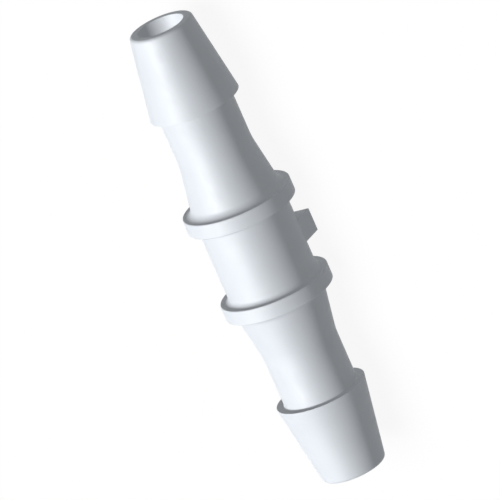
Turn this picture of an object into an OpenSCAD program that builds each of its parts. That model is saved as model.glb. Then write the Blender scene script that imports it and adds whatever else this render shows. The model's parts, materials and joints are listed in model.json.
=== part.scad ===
// Straight connector for two ends of soft hose, moulded in one piece.
// Each end has one barb, a neck that the hose grips and a flare up to a collar that stops it.
// Between the collars is a short grip barrel with a wedge-shaped lug on one side.
// The connector lies on its side, as it would on a bench. The bore runs along X, with the origin
// at its middle. The two collars and the crest of the lug touch the surface below.

/* [Bore] */
// Diameter of the bore, which runs straight through
bore_d = 4.1; // [3:0.05:4.6]

/* [Barbs] */
// Length of each barb, from its mouth to its ledge
barb_l = 7.45; // [4:0.05:12]
// Diameter over the sharp edge of each barb
barb_d = 7.95; // [7.2:0.05:9]
// Outer diameter of each mouth
mouth_d = 5.6; // [5.3:0.05:6.4]
// Round on the outer edge of each mouth
mouth_round = 0.3; // [0.05:0.05:0.35]

/* [Necks] */
// Length of the straight neck behind each barb
neck_l = 4.55; // [2:0.05:10]
// Diameter of the necks, a little over the inside of the hose
neck_d = 6.55; // [5.8:0.05:7]
// Length of the flare between each neck and its collar
flare_l = 4.35; // [2.5:0.05:8]
// Radius of the curve that leads each neck into its flare
flare_blend = 6; // [1:0.5:8]

/* [Collars] */
// Diameter of the two collars
collar_d = 9.65; // [9.2:0.05:12]
// Thickness of each collar
collar_t = 1.35; // [0.6:0.05:2.5]
// Round on the edges of the collars
collar_round = 0.1; // [0.05:0.05:0.2]

/* [Barrel] */
// Length of the barrel between the collars
barrel_l = 6.85; // [4:0.05:14]
// Diameter of the barrel, which the flares come up to
barrel_d = 7.95; // [7.4:0.05:8.6]

/* [Fillets] */
// Fillet between each flare and the outer face of its collar
flare_fillet = 0.65; // [0.1:0.05:0.7]
// Fillet between the barrel and the inner face of each collar
barrel_fillet = 0.4; // [0.1:0.05:0.7]
// Fillet between each neck and the ledge of its barb
ledge_fillet = 0.1; // [0.05:0.05:0.25]

/* [Lug] */
// Height by which the lug stands out past the collars
lug_out = 0.5; // [0.2:0.02:1]
// Length of the lug along the barrel
lug_l = 2.05; // [1:0.05:3]
// Width of the lug where it meets the barrel
lug_base_w = 3.2; // [2:0.05:4]
// Round along the crest of the lug
lug_round = 0.1; // [0.05:0.05:0.3]

/* [Hidden] */
$fn = 72;
// Turn of the round wall by half a facet, so that the collars stand on facets and not on corners
facet_turn = 180 / $fn;

bore_r = bore_d / 2;
barb_r = barb_d / 2;
mouth_r = mouth_d / 2;
neck_r = neck_d / 2;
collar_r = collar_d / 2;
barrel_r = barrel_d / 2;

// Places along the bore, counted from the middle of the barrel
collar_in = barrel_l / 2;
collar_out = collar_in + collar_t;
neck_start = collar_out + flare_l;
ledge = neck_start + neck_l;
mouth = ledge + barb_l;

// A fillet or round ends where the face that it lies on ends
collar_step = collar_r - barrel_r;
flare_fillet_r = min(flare_fillet, collar_step - collar_round);
barrel_fillet_r = min(barrel_fillet, collar_step - collar_round);
mouth_round_r = min(mouth_round, (mouth_r - bore_r) / 2);

// Depth by which an arc crosses the lines that it blends, so that they meet in one clean point
arc_bite = 0.0002;
// Depth by which a fillet or round runs past the corner that it fills or cuts
corner_overlap = 0.05;

// The lug's crest is a small cylinder, and its flanks touch it and run on into the barrel wall
lug_reach = collar_r + lug_out;
crest = [lug_reach - lug_round, 0];
flank_foot = [sqrt(barrel_r * barrel_r - lug_base_w * lug_base_w / 4), lug_base_w / 2];
flank_run_in = 0.4;

// Turn of the lug from straight down, at which the collars and the crest lie on one surface
lug_turn = acos((collar_r - lug_round) / crest.x);

function unit(v) = v / norm(v);
function turned(v, a) = [v.x * cos(a) - v.y * sin(a), v.x * sin(a) + v.y * cos(a)];

// Where a line from p touches the left side of a circle of radius r about c
function touch_point(p, c, r) =
    p + sqrt(pow(norm(c - p), 2) - r * r) * turned(unit(c - p), asin(r / norm(c - p)));

// The sliver between corner p and an arc of radius r that touches the lines from p to a and to b.
// It is added to an inside corner and cut from an outside one, so it runs a little past p.
module corner(a, p, b, r) {
    to_a = unit(a - p);
    to_b = unit(b - p);
    to_centre = unit(to_a + to_b);
    half_angle = acos(to_a * to_b) / 2;
    run = r / tan(half_angle);
    centre = p + to_centre * (r - arc_bite) / sin(half_angle);
    difference() {
        polygon([p - to_centre * corner_overlap, p + run * to_a, centre, p + run * to_b]);
        translate(centre) circle(r = r);
    }
}

// Corners of the half section, as [distance from the bore's axis, distance along it]
barrel_mid = [barrel_r, 0];
barrel_end = [barrel_r, collar_in];
rim_in = [collar_r, collar_in];
rim_out = [collar_r, collar_out];
flare_end = [barrel_r, collar_out];
flare_start = [neck_r, neck_start];
neck_end = [neck_r, ledge];
barb_edge = [barb_r, ledge];
mouth_edge = [mouth_r, mouth];
bore_edge = [bore_r, mouth];
bore_mid = [bore_r, 0];

// Wall of one half of the connector, from the middle of the barrel to one mouth
module half_section() {
    difference() {
        union() {
            polygon([
                bore_mid, barrel_mid, barrel_end, rim_in, rim_out, flare_end,
                flare_start, neck_end, barb_edge, mouth_edge, bore_edge
            ]);
            corner(barrel_mid, barrel_end, rim_in, barrel_fillet_r);
            corner(rim_out, flare_end, flare_start, flare_fillet_r);
            corner(flare_end, flare_start, neck_end, flare_blend);
            corner(flare_start, neck_end, barb_edge, ledge_fillet);
        }
        corner(barrel_end, rim_in, rim_out, collar_round);
        corner(rim_in, rim_out, flare_end, collar_round);
        corner(barb_edge, mouth_edge, bore_edge, mouth_round_r);
    }
}

// Wall of the whole connector, turned about the Z axis
module turned_wall() {
    rotate_extrude() {
        half_section();
        mirror([0, 1]) half_section();
    }
}

// Wedge along the barrel that points along +X
module lug() {
    upper_touch = touch_point(flank_foot, crest, lug_round - arc_bite);
    upper_foot = flank_foot + unit(flank_foot - upper_touch) * flank_run_in;
    translate([0, 0, -lug_l / 2])
        linear_extrude(height = lug_l)
            union() {
                polygon([
                    upper_foot, upper_touch, crest,
                    [upper_touch.x, -upper_touch.y], [upper_foot.x, -upper_foot.y]
                ]);
                translate(crest) circle(r = lug_round);
            }
}

module connector_body() {
    color("ghostwhite")
        rotate([0, 90, 0])
            union() {
                rotate([0, 0, facet_turn]) turned_wall();
                rotate([0, 0, -lug_turn]) lug();
            }
}

connector_body();
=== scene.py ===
"""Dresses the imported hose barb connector: a finely turned body, moulded plastic, floor, lamps and camera."""

import json
import math

import bmesh
import bpy
from mathutils import Matrix, Vector

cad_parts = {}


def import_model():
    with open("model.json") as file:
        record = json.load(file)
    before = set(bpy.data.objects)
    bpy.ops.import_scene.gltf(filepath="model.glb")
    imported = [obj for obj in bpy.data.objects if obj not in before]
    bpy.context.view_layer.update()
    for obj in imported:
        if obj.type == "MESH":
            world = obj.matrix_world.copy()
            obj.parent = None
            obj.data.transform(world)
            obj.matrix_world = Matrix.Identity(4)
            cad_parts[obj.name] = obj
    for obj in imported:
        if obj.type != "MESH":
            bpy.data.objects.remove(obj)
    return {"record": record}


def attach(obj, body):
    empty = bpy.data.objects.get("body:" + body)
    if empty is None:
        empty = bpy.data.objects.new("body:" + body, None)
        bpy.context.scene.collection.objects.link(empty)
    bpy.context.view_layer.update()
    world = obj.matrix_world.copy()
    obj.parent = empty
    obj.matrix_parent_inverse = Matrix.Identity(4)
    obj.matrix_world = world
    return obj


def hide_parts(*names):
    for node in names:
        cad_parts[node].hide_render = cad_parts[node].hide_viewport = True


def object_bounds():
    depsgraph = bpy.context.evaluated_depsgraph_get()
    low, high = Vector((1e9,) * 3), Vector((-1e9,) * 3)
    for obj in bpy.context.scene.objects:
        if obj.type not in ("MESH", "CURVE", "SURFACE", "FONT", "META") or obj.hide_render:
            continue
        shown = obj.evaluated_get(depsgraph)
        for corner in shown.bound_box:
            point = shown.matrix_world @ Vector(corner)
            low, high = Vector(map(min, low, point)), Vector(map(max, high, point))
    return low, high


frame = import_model()
CAD_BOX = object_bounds()

# A millimetre in metres, a full turn in radians, and the way that the bore runs
MM = 0.001
FULL_TURN = 2 * math.pi
ALONG_BORE = Vector((1, 0, 0))

# Lengths along the bore and radii, the same as in the part's source
BARB_L = 7.45 * MM
NECK_L = 4.55 * MM
FLARE_L = 4.35 * MM
COLLAR_T = 1.35 * MM
BARREL_L = 6.85 * MM
MOUTH_R = 5.6 / 2 * MM
BARB_R = 7.95 / 2 * MM
COLLAR_R = 9.65 / 2 * MM
BARREL_R = 7.95 / 2 * MM

# Rounds and fillets, with the small ones that the source leaves sharp
MOUTH_ROUND = 0.3 * MM
BORE_EDGE_ROUND = 0.06 * MM
BARB_EDGE_ROUND = 0.03 * MM
LEDGE_FILLET = 0.1 * MM
FLARE_BLEND = 6 * MM
FLARE_FILLET = 0.65 * MM
COLLAR_ROUND = 0.1 * MM
BARREL_FILLET = 0.4 * MM

# The lug, and how far the centre of its crest's round lies from the bore's axis
LUG_OUT = 0.5 * MM
LUG_L = 2.05 * MM
LUG_BASE_W = 3.2 * MM
LUG_ROUND = 0.1 * MM
LUG_EDGE_ROUND = 0.06 * MM
LUG_CREST = COLLAR_R + LUG_OUT - LUG_ROUND

# How finely the body is meshed. A support row close to each end of an arc keeps the face beside it flat.
COLUMNS = 288
CREST_STEPS = 6
LUG_EDGE_STEPS = 4
ARC_STEP = math.radians(9)
FEWEST_ARC_STEPS = 2
SUPPORT = 0.03 * MM
SAME_POINT = 0.0001 * MM
SHARP_ANGLE = math.radians(32)

# The plastic: how fine its clouds, patches and grain are, and how strong. Nearly all values of a noise lie
# in NOISE_RANGE, and SATIN is how rough the smoothest and the roughest patches are.
NOISE_RANGE = (0.3, 0.7)
CLOUDS_PER_MM = 0.3
CLOUD_DARK = (0.79, 0.836, 0.893, 1)
CLOUD_PALE = (0.818, 0.865, 0.92, 1)
PATCHES_PER_MM = 1.5
SATIN = (0.56, 0.64)
GRAINS_PER_MM = 8
GRAIN_DEPTH = 0.001 * MM
PLASTIC_IOR = 1.4

# Light, where 1 shows a colour as it is written. Directions are angles round the part from the photograph's
# right outline, and sizes are how wide a lamp's disc is seen. The glint comes from the key's place and shows
# only in the gloss.
WHITE = 1
AMBIENT = 0.234
KEY = 0.656
KEY_ROUND = math.radians(145)
KEY_SIZE = math.radians(8)
GLINT = 3.1
FILL = 0.13
FILL_ROUND = math.radians(180)
FILL_SIZE = math.radians(10)
LAMP_LEAN = math.radians(3)

# The floor: its size in metres, its colour, how much of it glows, and the lamp that throws the shadow on it
FLOOR_SIZE = 6
FLOOR_COLOUR = (0.95, 0.95, 0.95, 1)
FLOOR_GLOW = 0.9
FLOOR_KEY = 0.83
SHADOW_SOFTNESS = math.radians(60)

# How the photograph sees the part, in its frame of 500 by 500 pixels: its scale, the part's middle, the
# bore's slant from upright and tilt towards the viewer, and how far behind the right outline the lug lies
PHOTO_PX = 500
PX_PER_MM = 12
PART_CENTRE_PX = (257.7, 247.7)
AXIS_SLANT = math.radians(23.7)
AXIS_TILT = math.radians(17.5)
LUG_BEHIND_OUTLINE = math.radians(12.7)

# Where the camera stands and how near and far it sees, in metres
CAMERA_DISTANCE = 1.6
CLIP_NEAR = 0.01
CLIP_FAR = 20


def mount_radius(name):
    """Radius of the record's mount of that name."""
    mount = next(row for row in frame["record"]["mounts"] if row["name"] == name)
    return mount["dims"]["r_mm"] * MM


def lug_turn():
    """Turn of the lug from straight down, at which the collars and its crest lie on one floor."""
    return math.acos((COLLAR_R - LUG_ROUND) / LUG_CREST)


def blended(before, corner, after, radius):
    """Points of the arc that blends a corner of the section, and a support point past each of its ends."""
    to_before = (before - corner).normalized()
    to_after = (after - corner).normalized()
    half = to_before.angle(to_after) / 2
    run = radius / math.tan(half)
    centre = corner + (to_before + to_after).normalized() * radius / math.sin(half)
    start = corner + to_before * run - centre
    end = corner + to_after * run - centre
    sweep = start.angle_signed(end)
    steps = max(FEWEST_ARC_STEPS, math.ceil(abs(sweep) / ARC_STEP))
    arc = []
    for i in range(steps + 1):
        turn = Matrix.Rotation(-sweep * i / steps, 2)
        arc.append(centre + turn @ start)
    return [arc[0] + to_before * SUPPORT, *arc, arc[-1] + to_after * SUPPORT]


def half_section():
    """Rows from the middle of the bore, round the mouth at +X, to the lug's end, as (x, radius, None)."""
    bore_r = mount_radius("flow_bore")
    neck_r = mount_radius("hose_end_right")
    collar_in = BARREL_L / 2
    collar_out = collar_in + COLLAR_T
    neck_start = collar_out + FLARE_L
    ledge = neck_start + NECK_L
    mouth = ledge + BARB_L
    corners = [
        (mouth, bore_r, BORE_EDGE_ROUND),
        (mouth, MOUTH_R, MOUTH_ROUND),
        (ledge, BARB_R, BARB_EDGE_ROUND),
        (ledge, neck_r, LEDGE_FILLET),
        (neck_start, neck_r, FLARE_BLEND),
        (collar_out, BARREL_R, FLARE_FILLET),
        (collar_out, COLLAR_R, COLLAR_ROUND),
        (collar_in, COLLAR_R, COLLAR_ROUND),
        (collar_in, BARREL_R, BARREL_FILLET),
    ]
    first = Vector((0, bore_r))
    last = Vector((LUG_L / 2, BARREL_R))
    path = [first, *(Vector(corner[:2]) for corner in corners), last]
    points = [first]
    for i, (_, _, radius) in enumerate(corners):
        points += blended(path[i], path[i + 1], path[i + 2], radius)
    return [(point.x, point.y, None) for point in [*points, last]]


def half_lug():
    """Rows of the lug from its end wall towards its middle, as (x, None, inset from its outline)."""
    rows = []
    for i in range(LUG_EDGE_STEPS + 1):
        turn = math.pi / 2 * i / LUG_EDGE_STEPS
        back = LUG_EDGE_ROUND * (1 - math.cos(turn))
        rows.append((LUG_L / 2 - back, None, LUG_EDGE_ROUND * (1 - math.sin(turn))))
    rows.append((LUG_L / 2 - LUG_EDGE_ROUND - SUPPORT, None, 0))
    return rows


def body_rows():
    """Rows of the whole body, from the middle of the bore round both mouths, as (x, radius, inset)."""
    right = [*half_section(), *half_lug()]
    left = [(-x, radius, inset) for x, radius, inset in reversed(right[1:])]
    return [*right, *left]


def lug_flank():
    """Ends of the lug's flank, at the barrel and at the crest's round, seen with the crest towards +X."""
    foot = Vector((math.sqrt(BARREL_R**2 - LUG_BASE_W**2 / 4), LUG_BASE_W / 2))
    to_crest = Vector((LUG_CREST, 0)) - foot
    lean = math.asin(LUG_ROUND / to_crest.length)
    touch = foot + Matrix.Rotation(lean, 2) @ to_crest * math.cos(lean)
    return foot, touch


def angle_of(point):
    """Angle of a point about the bore, from the crest of the lug."""
    return math.atan2(point.y, point.x)


def lug_outline(angle):
    """Distance of the lug's outline from the bore's axis, that angle from its crest, or 0 past its foot."""
    foot, touch = lug_flank()
    if angle >= angle_of(foot):
        return 0
    if angle <= angle_of(touch):
        off_crest = LUG_CREST * math.sin(angle)
        return LUG_CREST * math.cos(angle) + math.sqrt(LUG_ROUND**2 - off_crest**2)
    flank = foot - touch
    ray = Vector((math.cos(angle), math.sin(angle)))
    return touch.cross(flank) / ray.cross(flank)


def column_angles():
    """Angles of the columns from the lug's crest: even all round, and finer over the crest's round."""
    foot, touch = (angle_of(point) for point in lug_flank())
    step = FULL_TURN / COLUMNS
    flank_steps = math.ceil((foot - touch) / step)
    rest_steps = math.ceil((FULL_TURN - 2 * foot) / step)
    crest = [touch * i / CREST_STEPS for i in range(-CREST_STEPS, CREST_STEPS + 1)]
    flank = [touch + (foot - touch) * i / flank_steps for i in range(1, flank_steps + 1)]
    other_flank = [-angle for angle in flank]
    rest = [foot + (FULL_TURN - 2 * foot) * i / rest_steps for i in range(1, rest_steps)]
    return sorted(angle % FULL_TURN for angle in [*crest, *flank, *other_flank, *rest])


def ring(mesh, row, angles):
    """Points of one row all round X. A row without a radius of its own follows the barrel and the lug."""
    x, radius, inset = row
    points = []
    for angle in angles:
        r = radius
        if radius is None:
            from_crest = min(angle, FULL_TURN - angle)
            r = max(BARREL_R, lug_outline(from_crest) - inset)
        turn = lug_turn() + angle
        points.append(mesh.verts.new((x, -r * math.sin(turn), -r * math.cos(turn))))
    return points


def turned_body():
    """The whole connector as one closed mesh, turned about X, with the lug raised from the barrel."""
    mesh = bmesh.new()
    angles = column_angles()
    rings = [ring(mesh, row, angles) for row in body_rows()]
    for this, following in zip(rings, [*rings[1:], rings[0]]):
        for i in range(len(angles)):
            j = (i + 1) % len(angles)
            mesh.faces.new((this[i], this[j], following[j], following[i]))
    bmesh.ops.remove_doubles(mesh, verts=mesh.verts, dist=SAME_POINT)
    bmesh.ops.recalc_face_normals(mesh, faces=mesh.faces)
    for face in mesh.faces:
        face.smooth = True
    data = bpy.data.meshes.new("connector")
    mesh.to_mesh(data)
    mesh.free()
    data.set_sharp_from_angle(angle=SHARP_ANGLE)
    body = bpy.data.objects.new("connector", data)
    bpy.context.collection.objects.link(body)
    return body


def noise(nodes, links, per_mm):
    """A noise that lies still on the piece, with that many grains to the millimetre."""
    place = nodes.new("ShaderNodeTexCoord")
    texture = nodes.new("ShaderNodeTexNoise")
    texture.inputs["Scale"].default_value = per_mm / MM
    links.new(place.outputs["Object"], texture.inputs["Vector"])
    return texture.outputs["Fac"]


def between(nodes, links, value, low, high):
    """The noise drawn out so that it runs from low to high."""
    drawn = nodes.new("ShaderNodeMapRange")
    drawn.inputs["From Min"].default_value = NOISE_RANGE[0]
    drawn.inputs["From Max"].default_value = NOISE_RANGE[1]
    drawn.inputs["To Min"].default_value = low
    drawn.inputs["To Max"].default_value = high
    links.new(value, drawn.inputs["Value"])
    return drawn.outputs["Result"]


def moulded_plastic():
    """White moulded plastic with a faint blue-grey cast: a little cloudy, and satin with a fine grain."""
    material = bpy.data.materials.new("moulded_plastic")
    material.use_nodes = True
    nodes = material.node_tree.nodes
    links = material.node_tree.links
    shader = nodes["Principled BSDF"]
    shader.inputs["IOR"].default_value = PLASTIC_IOR

    tint = nodes.new("ShaderNodeMix")
    tint.data_type = "RGBA"
    tint.inputs["A"].default_value = CLOUD_DARK
    tint.inputs["B"].default_value = CLOUD_PALE
    clouds = between(nodes, links, noise(nodes, links, CLOUDS_PER_MM), 0, 1)
    links.new(clouds, tint.inputs["Factor"])
    links.new(tint.outputs["Result"], shader.inputs["Base Color"])

    patches = between(nodes, links, noise(nodes, links, PATCHES_PER_MM), *SATIN)
    links.new(patches, shader.inputs["Roughness"])

    grain = nodes.new("ShaderNodeBump")
    grain.inputs["Distance"].default_value = GRAIN_DEPTH
    links.new(noise(nodes, links, GRAINS_PER_MM), grain.inputs["Height"])
    links.new(grain.outputs["Normal"], shader.inputs["Normal"])
    return material


def emptied(owner):
    """Nodes and links of a material or world, without the nodes that it starts with."""
    owner.use_nodes = True
    owner.node_tree.nodes.clear()
    return owner.node_tree.nodes, owner.node_tree.links


def seen_directly(nodes, links):
    """Socket that is 1 for what is seen straight on, reflected or through glass, and 0 for other light."""
    path = nodes.new("ShaderNodeLightPath")
    seen = path.outputs["Is Camera Ray"]
    for ray in ("Is Glossy Ray", "Is Transmission Ray"):
        either = nodes.new("ShaderNodeMath")
        either.operation = "MAXIMUM"
        links.new(seen, either.inputs[0])
        links.new(path.outputs[ray], either.inputs[1])
        seen = either.outputs[0]
    return seen


def mixed(nodes, links, factor, first, second):
    """Shader that goes from first to second as the factor, a number or a socket, goes from 0 to 1."""
    mix = nodes.new("ShaderNodeMixShader")
    if isinstance(factor, float):
        mix.inputs["Fac"].default_value = factor
    else:
        links.new(factor, mix.inputs["Fac"])
    links.new(first.outputs[0], mix.inputs[1])
    links.new(second.outputs[0], mix.inputs[2])
    return mix


def white_light(nodes, kind, strength):
    """A white emission or background shader of that strength."""
    shader = nodes.new(kind)
    shader.inputs["Color"].default_value = (1, 1, 1, 1)
    shader.inputs["Strength"].default_value = strength
    return shader


def floor():
    """White where the camera or a reflection sees it, and to all other light as dim as the world."""
    lowest = CAD_BOX[0][2]
    bpy.ops.mesh.primitive_plane_add(size=FLOOR_SIZE, location=(0, 0, lowest))
    plane = bpy.context.object
    plane.name = "floor"
    material = bpy.data.materials.new("floor")
    nodes, links = emptied(material)
    out = nodes.new("ShaderNodeOutputMaterial")
    pale = nodes.new("ShaderNodeBsdfDiffuse")
    pale.inputs["Color"].default_value = FLOOR_COLOUR
    glow = white_light(nodes, "ShaderNodeEmission", WHITE)
    lit = mixed(nodes, links, FLOOR_GLOW, pale, glow)
    dim = white_light(nodes, "ShaderNodeEmission", AMBIENT)
    both = mixed(nodes, links, seen_directly(nodes, links), dim, lit)
    links.new(both.outputs[0], out.inputs["Surface"])
    plane.data.materials.append(material)
    return plane


def world():
    """Even dim light all round, and white where the camera or a reflection sees past the floor."""
    studio = bpy.data.worlds.new("studio")
    bpy.context.scene.world = studio
    nodes, links = emptied(studio)
    out = nodes.new("ShaderNodeOutputWorld")
    white = white_light(nodes, "ShaderNodeBackground", WHITE)
    dim = white_light(nodes, "ShaderNodeBackground", AMBIENT)
    both = mixed(nodes, links, seen_directly(nodes, links), dim, white)
    links.new(both.outputs[0], out.inputs["Surface"])


def photo_axes():
    """Directions square to the bore, to the photograph's right outline and to the side that it shows."""
    outline = lug_turn() + LUG_BEHIND_OUTLINE
    across = Vector((0, -math.sin(outline), -math.cos(outline)))
    facing = Vector((0, -math.cos(outline), math.sin(outline)))
    return across, facing


def sun(name, piece, round_part, brightness, size):
    """A lamp whose light falls on one piece, nearly square to the bore, and isn't thrown back by it."""
    across, facing = photo_axes()
    square = across * math.cos(round_part) + facing * math.sin(round_part)
    to_lamp = square * math.cos(LAMP_LEAN) - ALONG_BORE * math.sin(LAMP_LEAN)
    data = bpy.data.lights.new(name, "SUN")
    # A face that is square to a sun of strength pi shows its colour as it is written
    data.energy = math.pi * brightness
    data.angle = size
    data.cycles.max_bounces = 0
    lamp = bpy.data.objects.new(name, data)
    lamp.rotation_mode = "QUATERNION"
    lamp.rotation_quaternion = to_lamp.to_track_quat("Z", "Y")
    bpy.context.collection.objects.link(lamp)
    lit = bpy.data.collections.new(name + "_lights")
    lit.objects.link(piece)
    lamp.light_linking.receiver_collection = lit
    return lamp


def let_through(lamp, piece):
    """Lets the lamp's light pass through the piece, so that it also reaches the wall of the bore."""
    passed = bpy.data.collections.new(lamp.name + "_passes")
    passed.objects.link(piece)
    passed.collection_objects[0].light_linking.link_state = "EXCLUDE"
    lamp.light_linking.blocker_collection = passed


def open_to_even_light(part, ground):
    """Lets the even light of the world and the floor reach every face of the part, also inside the bore."""
    part.visible_diffuse = False
    # Rays aimed at the world or the floor would still be blocked by the part, so none are sent
    bpy.context.scene.world.cycles.sampling_method = "NONE"
    ground.data.materials[0].cycles.emission_sampling = "NONE"


def lamps(part, ground):
    """A key from above, a fill and a glint on the part, and a key on the floor for the part's shadow."""
    key = sun("key", part, KEY_ROUND, KEY, KEY_SIZE)
    fill = sun("fill", part, FILL_ROUND, FILL, FILL_SIZE)
    glint = sun("glint", part, KEY_ROUND, GLINT, KEY_SIZE)
    glint.visible_diffuse = False
    for lamp in (key, fill, glint):
        let_through(lamp, part)
    sun("key_on_floor", ground, KEY_ROUND, FLOOR_KEY, SHADOW_SOFTNESS)


def camera():
    """Looks down on the lying connector from the side and with the slant of the photograph."""
    across, facing = photo_axes()
    back = ALONG_BORE * math.sin(AXIS_TILT) + facing * math.cos(AXIS_TILT)
    along_seen = ALONG_BORE * math.cos(AXIS_TILT) - facing * math.sin(AXIS_TILT)
    right = across * math.cos(AXIS_SLANT) - along_seen * math.sin(AXIS_SLANT)
    up = across * math.sin(AXIS_SLANT) + along_seen * math.cos(AXIS_SLANT)
    data = bpy.data.cameras.new("camera")
    data.lens = data.sensor_width * CAMERA_DISTANCE / (PHOTO_PX / PX_PER_MM * MM)
    data.clip_start = CLIP_NEAR
    data.clip_end = CLIP_FAR
    shift_right = (PHOTO_PX / 2 - PART_CENTRE_PX[0]) / PX_PER_MM * MM
    shift_up = (PART_CENTRE_PX[1] - PHOTO_PX / 2) / PX_PER_MM * MM
    place = back * CAMERA_DISTANCE + right * shift_right + up * shift_up
    view = bpy.data.objects.new("camera", data)
    axes = Matrix((right, up, back)).transposed().to_4x4()
    view.matrix_world = Matrix.Translation(place) @ axes
    bpy.context.collection.objects.link(view)
    bpy.context.scene.camera = view


camera()
world()
ground = floor()

connector = turned_body()
connector.data.materials.append(moulded_plastic())
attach(connector, "root")
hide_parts("connector_body")
open_to_even_light(connector, ground)
lamps(connector, ground)

bpy.context.scene.view_settings.view_transform = "Standard"
